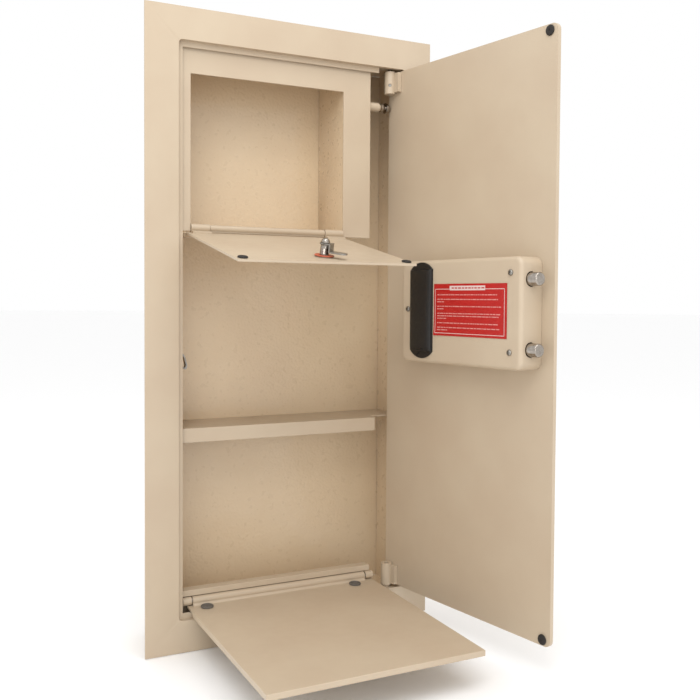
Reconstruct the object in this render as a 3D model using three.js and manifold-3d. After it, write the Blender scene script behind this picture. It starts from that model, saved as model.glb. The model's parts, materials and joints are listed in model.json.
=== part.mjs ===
// A tall biometric wall safe, set between two wall studs, standing open: the
// main door, the flap of the locking upper compartment and the drop-down flap
// of the lower compartment are all open.
//
// Millimetres, +X to the right, +Y into the wall, +Z up. The origin is the
// centre of the wall cut-out, on the wall's surface, where the flange's back
// face lies.

import * as THREE from 'three';
import { mergeVertices } from 'three/addons/utils/BufferGeometryUtils.js';
import Module from 'manifold-3d';

const wasm = await Module();
wasm.setup();

// ---------------------------------------------------------------- dimensions

const GAP = 0.3; // running and welding gap between neighbouring pieces
const SHEET = 2; // folded steel sheet

// flange and door opening
const FLANGE_W = 400;
const FLANGE_H = 800;
const OPENING = { left: -158, right: 160.5, half: 360 };
const OPENING_CORNER = 5;
const RETURN_DEPTH = 7.5; // the rolled return, behind the wall's surface
const LIP = 7; // stop lip that the door's bumpers meet
const LIP_END_X = 123.5; // the top and bottom lips stop short of the hinges

// box inside the wall
const BODY_W = 347;
const BODY_H = 747;
const BODY_DEPTH = 96;
const INNER_X = BODY_W / 2 - SHEET;
const INNER_Z = BODY_H / 2 - SHEET;
const BACK_Y = BODY_DEPTH - SHEET; // inner face of the back panel
const STUD_HOLE_R = 4;
const STUD_HOLE_Y = 50;
const STUD_HOLE_Z = 250;

// upper compartment
const FACE_Y = 10; // front of the compartment's face plate
const FACE_RIGHT = 113;
const FACE_BOTTOM = 127; // the ends of its two legs, beside the opening
const HATCH_LEFT = -139.4; // the compartment's own opening
const HATCH_RIGHT = 72;
const HATCH_BOTTOM = 126;
const HATCH_TOP = 322.5;

// shelf and sill
const SHELF_TOP = -121;
const SHELF_LIP = 18.5;
const SHELF_FRONT_Y = 13;
const SHELF_NOTCH_X = 125; // clears the edge of the open door
const SHELF_NOTCH_Y = 32;
const SILL_TOP = -329;
const SILL_FRONT_Y = 18;
const SILL_BACK_Y = 33;
const SILL_RIGHT = 120;

// main door, about its hinge axis
const DOOR_AXIS = { x: 143.5, y: 11 };
const DOOR_OPEN = 98.8; // degrees from closed
const DOOR_REACH = 298.5; // axis to free edge
const DOOR_TAIL = 12; // axis to hinge-side edge
const DOOR_H = 714;
const DOOR_IN = -8; // inner face, from the axis
const DOOR_OUT = -13; // outer face
const DOOR_CORNER = 8;
const BARREL_R = 7.7;
const BARREL_L = 30;
const TAB_REACH = 16; // the barrels' weld tabs, from the axis
const PIVOT_R = 3;

// lock box on the door: X towards the hinge, Y into the safe, Z up
const BOX = { left: -279.5, right: -63, bottom: -37.5, top: 93.5, face: 26 };
const BOX_WALL = 1.5;
const BOX_CORNER = 9;
const BOX_ROUND = 3.5; // rounding of the face's edges
const COVER_SCREWS = [[-263, 75], [-262, -17], [-76.8, 31]];
const LABEL = { left: -257.5, right: -129, bottom: -1.5, top: 63, thick: 0.4 };
const BOLT_R = 7.75;
const BOLT_Y = 10;
const BOLT_ZS = { upper: 67.5, lower: -13.5 };
const BOLT_TIP = -294;
const BOLT_ROOT = -235;
const BAR = { thick: 5, front: 17, back: 3, beyond: 9 }; // joins the bolts
const KNOB = { x: -205, z: 27, r: 16, depth: 20, spindle: 4, crank: 9.2, pin: 2 }; // between the bolts
const KEY = { x: -205, z: -18, r: 9, plug: 6, back: 3 };
const READER = { left: -235, right: -175, bottom: -48, top: 112, depth: 10, corner: 14 };
const SENSOR = { x: -205, z: 85, wide: 18, tall: 22 };
const SOLENOID = { left: -186, right: -152, bottom: -20, top: 2, depth: 18 };
const BOARD = { left: -222, right: -140, bottom: 42, top: 80, thick: 1.6 };

// battery compartment in the lock box
const BAY = { left: -126, right: -84, bottom: -23, top: 82, floor: 8 };
const BAY_ARCH = 9; // rise of the arched ends
const CELL_R = 7.1;
const CELL_L = 50.4;

// upper flap, about its hinge axis
const UPPER_AXIS = { y: 12.5, z: 131.5 };
const UPPER_PIN_R = 2;
const UPPER_TUBE = { left: -114.4, right: 44.4, r: 4.4 }; // the fixed middle of the hinge
const UPPER_OPEN = 101.9;
const UPPER = { left: -145, right: 74.3, start: 5, reach: 201, inner: -5.3, outer: -7.8 };
const CAM = { x: -30, z: 168, turn: 42, reach: 28, half: 6, barrel: 5.5, stud: 2.4, rim: 11 }; // half turned
const PAD = { r: 5.8, thick: 2.2 };

// lower flap, about its hinge axis
const LOWER_AXIS = { y: 18, z: -342.7 };
const LOWER_OPEN = 90.96;
const LOWER = { left: -142, right: 123, start: -5, reach: 279.5, inner: -5.6, outer: -8.6 };
const LOWER_LIP = { start: 24, thick: 2, depth: 7 }; // folded out round three sides
const DISC = { r: 8, z: 15.5, thick: 2.5, xs: [-120, 90] };
const LOWER_TUBE = { left: -135.2, right: 110.8, r: 5.3 };
const LOWER_PIN_R = 2.5;
const WASHER = 0.8;
const KNUCKLE_L = 11.3;

// door stop
const STOP = { y: 21, z: 309.5, postR: 6.2, postEnd: 133, screwR: 3, screwStart: 121, tip: 149.6 };

const ROUND = 24; // sides of a round piece
const SMALL_ROUND = 14;

// ----------------------------------------------------------------- materials

const paint = (color) => new THREE.MeshStandardMaterial({ color, roughness: 0.45, metalness: 0 });
const cream = paint(0xd9c4a4);
const insideCream = paint(0xcbb391);
const chrome = new THREE.MeshStandardMaterial({ color: 0xd8d8d8, roughness: 0.15, metalness: 1 });
const zinc = new THREE.MeshStandardMaterial({ color: 0x9a9a98, roughness: 0.4, metalness: 0.9 });
const brass = new THREE.MeshStandardMaterial({ color: 0xb08a4a, roughness: 0.35, metalness: 1 });
const rubber = new THREE.MeshStandardMaterial({ color: 0x26221f, roughness: 0.8, metalness: 0 });
const greyRubber = new THREE.MeshStandardMaterial({ color: 0x6a655f, roughness: 0.7, metalness: 0 });
const blackPlastic = new THREE.MeshStandardMaterial({ color: 0x221e1b, roughness: 0.5, metalness: 0 });
const glass = new THREE.MeshStandardMaterial({ color: 0x10181c, roughness: 0.1, metalness: 0 });
const redLabel = new THREE.MeshStandardMaterial({ color: 0xc01c1a, roughness: 0.5, metalness: 0 });
const redNylon = new THREE.MeshStandardMaterial({ color: 0xa65a3e, roughness: 0.5, metalness: 0 });
const board = new THREE.MeshStandardMaterial({ color: 0x1f5a34, roughness: 0.6, metalness: 0 });
const cellWrap = new THREE.MeshStandardMaterial({ color: 0x3c3f46, roughness: 0.4, metalness: 0.2 });

// --------------------------------------------------------- geometry functions

function toSolid(geometry) {
  const bare = geometry.clone();
  bare.deleteAttribute('normal');
  bare.deleteAttribute('uv');
  const merged = mergeVertices(bare, 1e-4);
  return new wasm.Manifold(new wasm.Mesh({
    numProp: 3,
    vertProperties: new Float32Array(merged.attributes.position.array),
    triVerts: new Uint32Array(merged.index.array),
  }));
}

function toGeometry(solid) {
  const mesh = solid.getMesh();
  const geometry = new THREE.BufferGeometry();
  geometry.setAttribute('position', new THREE.BufferAttribute(mesh.vertProperties, mesh.numProp));
  geometry.setIndex(new THREE.BufferAttribute(mesh.triVerts, 1));
  return geometry;
}

function cut(geometry, ...tools) {
  return toGeometry(tools.reduce((solid, tool) => solid.subtract(toSolid(tool)), toSolid(geometry)));
}

function join(first, ...others) {
  return toGeometry(others.reduce((solid, other) => solid.add(toSolid(other)), toSolid(first)));
}

function box(x0, x1, y0, y1, z0, z1) {
  const geometry = new THREE.BoxGeometry(x1 - x0, y1 - y0, z1 - z0);
  return geometry.translate((x0 + x1) / 2, (y0 + y1) / 2, (z0 + z1) / 2);
}

// Turns a solid made about the Z axis so that it lies along another axis, and
// moves it to the two other coordinates, given in X, Y, Z order.
function along(axis, geometry, [a, b]) {
  if (axis === 'x') return geometry.rotateY(Math.PI / 2).translate(0, a, b);
  if (axis === 'y') return geometry.rotateX(-Math.PI / 2).translate(a, 0, b);
  return geometry.translate(a, b, 0);
}

// A solid of revolution about the Z axis. The profile is a list of
// [radius, height] points that starts and ends on the axis, or closes on itself.
function turned(profile, sides = ROUND) {
  const points = profile.map(([r, h]) => new THREE.Vector2(r, h));
  return new THREE.LatheGeometry(points, sides).rotateX(Math.PI / 2);
}

function rod(axis, r, from, to, at, sides = ROUND) {
  return along(axis, turned([[0, from], [r, from], [r, to], [0, to]], sides), at);
}

function tube(axis, r, bore, from, to, at, sides = ROUND) {
  const profile = [[bore, from], [r, from], [r, to], [bore, to], [bore, from]];
  return along(axis, turned(profile, sides), at);
}

function outline(points) {
  return new THREE.Shape(points.map(([a, b]) => new THREE.Vector2(a, b)));
}

// A rectangle with round corners; radii are given for the lower left, lower
// right, upper right and upper left corners, or one for all.
function rounded(x0, x1, y0, y1, radii, shape = new THREE.Shape()) {
  const [ll, lr, ur, ul] = Array.isArray(radii) ? radii : [radii, radii, radii, radii];
  const quarter = Math.PI / 2;
  shape.moveTo(x0 + ll, y0);
  shape.lineTo(x1 - lr, y0);
  shape.absarc(x1 - lr, y0 + lr, lr, -quarter, 0, false);
  shape.lineTo(x1, y1 - ur);
  shape.absarc(x1 - ur, y1 - ur, ur, 0, quarter, false);
  shape.lineTo(x0 + ul, y1);
  shape.absarc(x0 + ul, y1 - ul, ul, quarter, 2 * quarter, false);
  shape.lineTo(x0, y0 + ll);
  shape.absarc(x0 + ll, y0 + ll, ll, 2 * quarter, 3 * quarter, false);
  return shape;
}

function extruded(shape, depth, curveSegments) {
  return new THREE.ExtrudeGeometry(shape, { depth, bevelEnabled: false, curveSegments });
}

// Plates: an outline in X and Z made thick along Y, in Y and Z along X, and in
// X and Y along Z.
function plateY(shape, y0, y1, curveSegments = 4) {
  return extruded(shape, y1 - y0, curveSegments).rotateX(Math.PI / 2).translate(0, y1, 0);
}

function plateX(shape, x0, x1) {
  const turn = new THREE.Matrix4().makeBasis(
    new THREE.Vector3(0, 1, 0), new THREE.Vector3(0, 0, 1), new THREE.Vector3(1, 0, 0));
  return extruded(shape, x1 - x0, 4).applyMatrix4(turn).translate(x0, 0, 0);
}

function plateZ(shape, z0, z1) {
  return extruded(shape, z1 - z0, 4).translate(0, 0, z0);
}

function piece(name, geometry, material) {
  const mesh = new THREE.Mesh(geometry, material);
  mesh.name = name;
  return mesh;
}

// ------------------------------------------------------------- fixed housing

function frontFrame() {
  const { left, right, half: z } = OPENING;
  const flange = outline([[-FLANGE_W / 2, -FLANGE_H / 2], [FLANGE_W / 2, -FLANGE_H / 2],
    [FLANGE_W / 2, FLANGE_H / 2], [-FLANGE_W / 2, FLANGE_H / 2]]);
  flange.holes.push(rounded(left, right, -z, z, OPENING_CORNER, new THREE.Path()));
  const rim = rounded(left - SHEET, right + SHEET, -z - SHEET, z + SHEET, OPENING_CORNER + SHEET);
  rim.holes.push(rounded(left, right, -z, z, OPENING_CORNER, new THREE.Path()));
  const lipY = RETURN_DEPTH - SHEET;
  const inWall = 1; // the lips run this far into the return that they fold from
  const beyond = 5; // how far the cutting blocks reach past the rim
  const sideLip = box(left - inWall, left + LIP, lipY, RETURN_DEPTH, -z - inWall, z + inWall);
  const topLip = box(left - inWall, LIP_END_X, lipY, RETURN_DEPTH, z - LIP, z + inWall);
  const bottomLip = box(left - inWall, LIP_END_X, lipY, RETURN_DEPTH, -z - inWall, LIP - z);
  const hingeSide = box(right - OPENING_CORNER, right + beyond, 0, RETURN_DEPTH + 1, -z - beyond, z + beyond);
  const hingeEnds = box(LIP_END_X, right + beyond, lipY, RETURN_DEPTH + 1, -z - beyond, z + beyond);
  const rolled = cut(plateY(rim, -SHEET / 2, RETURN_DEPTH), hingeSide, hingeEnds);
  return piece('front_frame', join(plateY(flange, -SHEET, 0), rolled, sideLip, topLip, bottomLip), cream);
}

function bodyShell() {
  const ring = outline([[-BODY_W / 2, -BODY_H / 2], [BODY_W / 2, -BODY_H / 2],
    [BODY_W / 2, BODY_H / 2], [-BODY_W / 2, BODY_H / 2]]);
  ring.holes.push(new THREE.Path([[-INNER_X, -INNER_Z], [INNER_X, -INNER_Z],
    [INNER_X, INNER_Z], [-INNER_X, INNER_Z]].map(([a, b]) => new THREE.Vector2(a, b))));
  const studHoles = [-STUD_HOLE_Z, STUD_HOLE_Z].map((z) =>
    rod('x', STUD_HOLE_R, -BODY_W, BODY_W, [STUD_HOLE_Y, z], SMALL_ROUND));
  return piece('body_shell', cut(plateY(ring, GAP, BODY_DEPTH), ...studHoles), insideCream);
}

function backPanel() {
  const x = INNER_X - GAP;
  const z = INNER_Z - GAP;
  return piece('back_panel', box(-x, x, BACK_Y, BODY_DEPTH, -z, z), insideCream);
}

function compartmentFace() {
  const top = INNER_Z - GAP;
  const plate = outline([[-INNER_X + GAP, FACE_BOTTOM], [HATCH_LEFT, FACE_BOTTOM], [HATCH_LEFT, HATCH_TOP],
    [HATCH_RIGHT, HATCH_TOP], [HATCH_RIGHT, FACE_BOTTOM], [FACE_RIGHT, FACE_BOTTOM], [FACE_RIGHT, top],
    [-INNER_X + GAP, top]]);
  return piece('compartment_face', plateY(plate, FACE_Y, FACE_Y + SHEET), cream);
}

function compartmentBox() {
  const y0 = FACE_Y + SHEET + GAP;
  const y1 = BACK_Y - GAP;
  const wall = HATCH_RIGHT + 1;
  const floor = box(-INNER_X + GAP, wall + SHEET, y0, y1, HATCH_BOTTOM - SHEET, HATCH_BOTTOM);
  const side = box(wall, wall + SHEET, y0, y1, HATCH_BOTTOM - SHEET, INNER_Z - GAP);
  return piece('compartment_box', join(floor, side), insideCream);
}

function shelf() {
  const y1 = BACK_Y - GAP;
  const y0 = SHELF_FRONT_Y;
  const lipEnd = SHELF_TOP - SHELF_LIP;
  const under = SHELF_TOP - SHEET;
  const folded = outline([[y0, lipEnd], [y0 + SHEET, lipEnd], [y0 + SHEET, under], [y1, under],
    [y1, SHELF_TOP], [y0, SHELF_TOP]]);
  const plate = plateX(folded, -INNER_X + GAP, INNER_X - GAP);
  const notch = box(SHELF_NOTCH_X, INNER_X + 1, 0, SHELF_NOTCH_Y, lipEnd - 1, SHELF_TOP + 1);
  return piece('shelf', cut(plate, notch), cream);
}

function sillBracket() {
  const front = LOWER_AXIS.z + LOWER_TUBE.r + 2 * GAP;
  const folded = outline([[SILL_FRONT_Y, front], [SILL_FRONT_Y + SHEET, front],
    [SILL_FRONT_Y + SHEET, SILL_TOP - SHEET], [SILL_BACK_Y - SHEET, SILL_TOP - SHEET],
    [SILL_BACK_Y - SHEET, -INNER_Z + GAP], [SILL_BACK_Y, -INNER_Z + GAP],
    [SILL_BACK_Y, SILL_TOP], [SILL_FRONT_Y, SILL_TOP]]);
  return piece('sill_bracket', plateX(folded, -INNER_X + GAP, SILL_RIGHT), cream);
}

function upperHingeFixed() {
  const { y, z } = UPPER_AXIS;
  const { left, right, r } = UPPER_TUBE;
  const bore = rod('x', UPPER_PIN_R + GAP, left - 1, right + 1, [y, z], SMALL_ROUND);
  const foot = box(left, right, y - 2, y + 2, HATCH_BOTTOM + GAP, z - 3);
  const pin = rod('x', UPPER_PIN_R, HATCH_LEFT + GAP, HATCH_RIGHT - GAP, [y, z], SMALL_ROUND);
  return [
    piece('upper_hinge_tube', cut(join(rod('x', r, left, right, [y, z]), foot), bore), cream),
    piece('upper_hinge_pin', pin, zinc),
  ];
}

function lowerKnuckle(name, from, to) {
  const { y, z } = LOWER_AXIS;
  const barrel = rod('x', LOWER_TUBE.r, from, to, [y, z]);
  const tab = box(from, to, y, SILL_BACK_Y - SHEET - GAP, z - 2.5, z + 1.7);
  const bore = rod('x', LOWER_PIN_R + GAP, from - 1, to + 1, [y, z], SMALL_ROUND);
  return piece(name, cut(join(barrel, tab), bore), cream);
}

function hingeWasher(name, from) {
  const { y, z } = LOWER_AXIS;
  const ring = tube('x', LOWER_TUBE.r, LOWER_PIN_R + GAP, from, from + WASHER, [y, z], SMALL_ROUND);
  return piece(name, ring, chrome);
}

// From the lower flap's hinge tube outwards on each side: a washer, then a
// knuckle welded to the sill, with one pin through them all.
function lowerHingeFixed() {
  const { y, z } = LOWER_AXIS;
  const leftWasher = LOWER_TUBE.left - 0.4 - WASHER;
  const rightWasher = LOWER_TUBE.right + 0.4;
  const leftEnd = leftWasher - GAP;
  const rightStart = rightWasher + WASHER + GAP;
  const pinLength = KNUCKLE_L - 0.5;
  const pin = rod('x', LOWER_PIN_R, leftEnd - pinLength, rightStart + pinLength, [y, z], SMALL_ROUND);
  return [
    lowerKnuckle('lower_knuckle_left', leftEnd - KNUCKLE_L, leftEnd),
    lowerKnuckle('lower_knuckle_right', rightStart, rightStart + KNUCKLE_L),
    piece('lower_hinge_pin', pin, zinc),
    hingeWasher('hinge_washer_left', leftWasher),
    hingeWasher('hinge_washer_right', rightWasher),
  ];
}

// The bottom plate carries a boss that the door's lower barrel stands on.
function pivotPlates() {
  const { x, y } = DOOR_AXIS;
  const z = OPENING.half + SHEET + GAP;
  const thick = 4;
  const depth = 26;
  const bossR = 5;
  const plate = (z0, z1) => box(LIP_END_X + SHEET, INNER_X - GAP, GAP, depth, z0, z1);
  const hole = rod('z', PIVOT_R + GAP, -z - 2 * thick, z + 2 * thick, [x, y]);
  const boss = rod('z', bossR, -z - 1, -DOOR_H / 2 - GAP, [x, y]);
  return [
    piece('pivot_plate_top', cut(plate(z, z + thick), hole), cream),
    piece('pivot_plate_bottom', cut(join(plate(-z - thick, -z), boss), hole), cream),
  ];
}

// A post welded to the compartment's side wall, and in its end a round-headed
// screw with a jam nut, which the open door meets.
function doorStop() {
  const { y, z, postR, postEnd, screwR, screwStart, tip } = STOP;
  const start = HATCH_RIGHT + 1 + SHEET + GAP;
  const taper = 2;
  const post = turned([[0, start], [postR, start], [postR, postEnd - taper - 1], [postR - taper, postEnd],
    [0, postEnd]]);
  const bore = rod('x', screwR + GAP, screwStart - 1, postEnd + 1, [y, z], SMALL_ROUND);
  const nut = rod('x', 5.8, postEnd + GAP, postEnd + 4, [y, z], 6);
  const head = tip - 8;
  const screw = turned([[0, screwStart], [screwR, screwStart], [screwR, head], [7.2, head], [7.2, head + 2],
    [6, head + 5.5], [3.5, head + 7.4], [0, tip]]);
  return [
    piece('stop_post', cut(along('x', post, [y, z]), bore), cream),
    piece('stop_screw', join(along('x', screw, [y, z]), nut), chrome),
  ];
}

// A bent spring strip riveted to the left wall, its nose just inside the lip.
function wallClip() {
  const wall = -INNER_X + GAP;
  const thick = 1.6;
  const top = -24;
  const foot = top - 20;
  const strip = outline([[wall, top], [-150, top], [-145.5, -30], [-142.5, -41], [-143, -45],
    [-145.5, -46.5], [-148, -45], [-147.5, -43.2], [-145.5, -44.4], [-144.3, -41.5], [-147, -31],
    [-151, top - thick], [wall + thick, top - thick], [wall + thick, foot], [wall, foot]]);
  return piece('wall_clip', plateY(strip, 14, 22), zinc);
}

// ----------------------------------------------------------------- main door
// Everything below is placed about the hinge axis, as it stands when shut.

function doorPanel() {
  const z = DOOR_H / 2;
  const hingeCorner = 1.5;
  const sheet = rounded(-DOOR_REACH, DOOR_TAIL, -z, z, [DOOR_CORNER, hingeCorner, hingeCorner, DOOR_CORNER]);
  const cableR = 5;
  const holes = [[KEY, KEY.r], [KNOB, KNOB.spindle], [SENSOR, cableR]].map(([{ x, z }, r]) =>
    rod('y', r + GAP, DOOR_OUT - 1, DOOR_IN + 1, [x, z]));
  return piece('door_panel', cut(plateY(sheet, DOOR_OUT, DOOR_IN), ...holes), cream);
}

// Places the grub screw, or its thread, which is made along +Y from the axis.
function grubPlace(geometry) {
  const turn = THREE.MathUtils.degToRad(53);
  const height = DOOR_H / 2 - 19;
  return geometry.rotateZ(turn).translate(0, 0, height);
}

function doorBarrel(z0, z1) {
  const tabThick = 6;
  const barrel = rod('z', BARREL_R, z0, z1, [0, 0]);
  const tab = box(-TAB_REACH, 0, DOOR_IN + GAP, DOOR_IN + GAP + tabThick, z0 + 2, z1 - 2);
  return cut(join(barrel, tab), rod('z', PIVOT_R + GAP, z0 - 1, z1 + 1, [0, 0]));
}

function doorHinges() {
  const z = DOOR_H / 2;
  const pinEnd = OPENING.half + 6;
  const pinStart = z - BARREL_L + 6;
  const grubR = 2;
  const thread = grubPlace(rod('y', grubR + GAP, grubR, BARREL_R + 1, [0, 0], SMALL_ROUND));
  const grub = grubPlace(rod('y', grubR, PIVOT_R + GAP, BARREL_R - 0.6, [0, 0], SMALL_ROUND));
  return [
    piece('door_barrel_top', cut(doorBarrel(z - BARREL_L, z), thread), cream),
    piece('door_barrel_bottom', doorBarrel(-z, BARREL_L - z), cream),
    piece('pivot_pin_top', rod('z', PIVOT_R, pinStart, pinEnd, [0, 0]), chrome),
    piece('pivot_pin_bottom', rod('z', PIVOT_R, -pinEnd, -pinStart, [0, 0]), chrome),
    piece('grub_screw', grub, zinc),
  ];
}

function bumpers() {
  const x = 11.5 - DOOR_REACH;
  const z = DOOR_H / 2 - 7.5;
  const r = 6.2;
  const y = DOOR_IN + GAP;
  return [['bumper_top', z], ['bumper_bottom', -z]].map(([name, at]) =>
    piece(name, rod('y', r, y, y + 2, [x, at]), rubber));
}

function boxBlock() {
  const { left, right, bottom, top, face } = BOX;
  const back = 4; // the block's own rounded back edge, trimmed away below
  const shape = rounded(left, right, bottom, top, BOX_CORNER);
  const depth = face - DOOR_IN + back - 2 * BOX_ROUND;
  const block = new THREE.ExtrudeGeometry(shape, {
    depth,
    bevelEnabled: true,
    bevelThickness: BOX_ROUND,
    bevelSize: BOX_ROUND,
    bevelOffset: -BOX_ROUND,
    bevelSegments: 3,
    curveSegments: 4,
  });
  block.rotateX(Math.PI / 2).translate(0, face - BOX_ROUND, 0);
  return cut(block, box(left - 1, right + 1, DOOR_IN - 2 * back, DOOR_IN + GAP, bottom - 1, top + 1));
}

function screwHole(face, at) {
  const r = 1.8;
  return rod('y', r, face - 5, face + 1, at, SMALL_ROUND);
}

function lockCover() {
  const { left, right, bottom, top, face } = BOX;
  const w = BOX_WALL;
  const inside = rounded(left + w, right - w, bottom + w, top - w, BOX_CORNER - w);
  const pocket = plateY(inside, DOOR_IN - 1, face - w);
  const boltHoles = Object.values(BOLT_ZS).map((z) =>
    rod('x', BOLT_R + 1.1, left - 1, left + 5, [BOLT_Y, z]));
  const window = box(BAY.left - GAP, BAY.right + GAP, face - 5, face + 1, BAY.bottom - GAP, BAY.top + GAP);
  const screwHoles = COVER_SCREWS.map((at) => screwHole(face, at));
  return piece('lock_cover', cut(boxBlock(), pocket, window, ...boltHoles, ...screwHoles), cream);
}

function coverScrew([x, z], i) {
  const f = BOX.face + GAP;
  const profile = [[0, f - 6], [1.5, f - 6], [1.5, f], [3.6, f], [3.4, f + 1], [2.2, f + 1.9], [0, f + 2.2]];
  return piece(`cover_screw_${i + 1}`, along('y', turned(profile, SMALL_ROUND), [x, z]), zinc);
}

// The folded channel behind the cover's free edge, which the bolts slide in.
function boltGuide() {
  const top = BOX.face - BOX_WALL - 2.5;
  const x0 = BOX.left + 7;
  const wide = 15;
  const low = DOOR_IN + GAP;
  const channel = outline([[x0, low], [x0 + wide, low], [x0 + wide, low + SHEET], [x0 + SHEET, low + SHEET],
    [x0 + SHEET, top - SHEET], [x0 + wide, top - SHEET], [x0 + wide, top], [x0, top]]);
  const boltHoles = Object.values(BOLT_ZS).map((z) =>
    rod('x', BOLT_R + GAP, x0 - 1, x0 + SHEET + 1, [BOLT_Y, z]));
  const screwHoles = COVER_SCREWS.slice(0, 2).map((at) => screwHole(top, at));
  const guide = plateZ(channel, BOX.bottom + 7.5, BOX.top - 6.5);
  return piece('bolt_guide', cut(guide, ...boltHoles, ...screwHoles), zinc);
}

function electronics() {
  const low = DOOR_IN + GAP;
  const { left, right, bottom, top, depth } = SOLENOID;
  const coil = box(left, right, low, low + depth, bottom, top);
  const plunger = rod('x', 3, left - 6, left + 6, [low + depth / 2, (bottom + top) / 2], SMALL_ROUND);
  const circuit = box(BOARD.left, BOARD.right, low, low + BOARD.thick, BOARD.bottom, BOARD.top);
  return [
    piece('lock_solenoid', join(coil, plunger), zinc),
    piece('circuit_board', circuit, board),
  ];
}

function bolt(name, z) {
  const tip = 1; // chamfer of the bolt's end
  const profile = [[0, BOLT_TIP], [BOLT_R - tip, BOLT_TIP], [BOLT_R, BOLT_TIP + tip], [BOLT_R, BOLT_ROOT],
    [0, BOLT_ROOT]];
  return piece(name, along('x', turned(profile), [BOLT_Y, z]), chrome);
}

// The bar that joins the bolts. Its tongue has an upright slot, in which the
// crank pin moves it from side to side.
function boltBar() {
  const x0 = BOLT_ROOT + GAP;
  const bar = box(x0, x0 + BAR.thick, BAR.back, BAR.front,
    BOLT_ZS.lower - BAR.beyond, BOLT_ZS.upper + BAR.beyond);
  const lift = KNOB.crank * Math.SQRT1_2;
  const pinX = KNOB.x + lift;
  const tongueY = BAR.back + 2;
  const tongue = box(x0 + 1, pinX + 6, BAR.back, tongueY, KNOB.z - 4, KNOB.z + 16);
  const slotHalf = KNOB.pin + 2 * GAP;
  const slot = box(pinX - slotHalf, pinX + slotHalf, BAR.back - 1, tongueY + 1,
    KNOB.z + lift - slotHalf, KNOB.z + KNOB.crank + slotHalf);
  return piece('bolt_bar', cut(join(bar, tongue), slot), zinc);
}

function boltCarriage() {
  return [boltBar(), bolt('bolt_upper', BOLT_ZS.upper), bolt('bolt_lower', BOLT_ZS.lower)];
}

// The knob on the door's outer face, with a raised grip across it.
function knob() {
  const { x, z, r, depth, spindle } = KNOB;
  const base = DOOR_OUT - READER.depth - 2 * GAP;
  const end = base - depth;
  const skirt = 2;
  const profile = turned([[0, end], [r - skirt, end], [r, end + skirt], [r, base - 2 * skirt],
    [r + skirt, base - skirt], [r + skirt, base], [0, base]], 32);
  const socket = rod('y', spindle + GAP, end + 6, base + 1, [x, z]);
  const grip = box(x - 3.5, x + 3.5, end - 6, end + 1, z - r + 1, z + r - 1);
  return piece('knob', cut(join(along('y', profile, [x, z]), grip), socket), blackPlastic);
}

// The knob's spindle runs through the door to a crank, which moves the bolts.
// It stands as it does with the bolts drawn back.
function knobSpindle() {
  const { x, z, depth, spindle, crank, pin } = KNOB;
  const outer = DOOR_OUT - READER.depth - GAP - depth + 6;
  const back = DOOR_IN + 2;
  const front = DOOR_IN + 5;
  const lift = Math.SQRT1_2 * crank;
  const arm = box(-3, 3, back, front, 0, crank).rotateY(Math.PI / 4).translate(x, 0, z);
  return piece('knob_spindle', join(
    rod('y', spindle, outer, front, [x, z]),
    rod('y', 6.5, back, front, [x, z]),
    arm,
    rod('y', 3, back, front, [x + lift, z + lift], SMALL_ROUND),
    rod('y', pin, front - 1, BAR.back + 3.5, [x + lift, z + lift], SMALL_ROUND),
  ), zinc);
}

// The arched outline that the battery holder's rim shows on the box's face.
function archedOutline() {
  const { left, right, bottom, top } = BAY;
  const half = (right - left) / 2;
  const middle = (left + right) / 2;
  const r = (half * half + BAY_ARCH * BAY_ARCH) / (2 * BAY_ARCH);
  const a = Math.asin(half / r);
  const shape = new THREE.Shape();
  shape.moveTo(left, bottom);
  shape.absarc(middle, bottom - BAY_ARCH + r, r, -Math.PI / 2 - a, -Math.PI / 2 + a, false);
  shape.lineTo(right, top);
  shape.absarc(middle, top + BAY_ARCH - r, r, Math.PI / 2 - a, Math.PI / 2 + a, false);
  shape.closePath();
  return shape;
}

function batteryBay() {
  const { left, right, bottom, top, floor } = BAY;
  const w = BOX_WALL;
  const rimY = BOX.face + GAP;
  const rim = plateY(archedOutline(), rimY, rimY + 2, 8);
  const tray = box(left, right, floor, rimY + 1, bottom, top);
  const hollow = box(left + w, right - w, floor + w, rimY + 5, bottom + w, top - w);
  const cells = [-0.5, 0.5].map((side, i) => {
    const x = (left + right) / 2 + side * (2 * CELL_R + 1);
    const start = (bottom + top) / 2 - CELL_L;
    const nub = 1.2;
    const nubR = 2.7;
    const body = CELL_L - nub;
    const oneCell = (z) => [[CELL_R, z], [CELL_R, z + body], [nubR, z + body], [nubR, z + CELL_L]];
    const profile = [[0, start], ...oneCell(start), ...oneCell(start + CELL_L), [0, start + 2 * CELL_L]];
    const y = floor + w + GAP + CELL_R;
    return piece(`battery_column_${i + 1}`, along('z', turned(profile), [x, y]), cellWrap);
  });
  return [piece('battery_holder', cut(join(rim, tray), hollow), blackPlastic), ...cells];
}

function batteryCover() {
  const y = BOX.face + 2 + 2 * GAP;
  const crown = 1.2;
  const lid = [[BAY.left + 0.5, y], [BAY.right - 0.5, y], [BAY.right - 0.5, y + 1.6],
    [BAY.right - 4, y + 2.4], [(BAY.left + BAY.right) / 2, y + 2.4 + crown], [BAY.left + 4, y + 2.4],
    [BAY.left + 0.5, y + 1.6]];
  return piece('battery_cover', plateZ(outline(lid), BAY.bottom + 0.5, BAY.top - 0.5), blackPlastic);
}

function label() {
  const { left, right, bottom, top, thick } = LABEL;
  const y = BOX.face + GAP;
  return piece('label', box(left, right, y, y + thick, bottom, top), redLabel);
}

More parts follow.
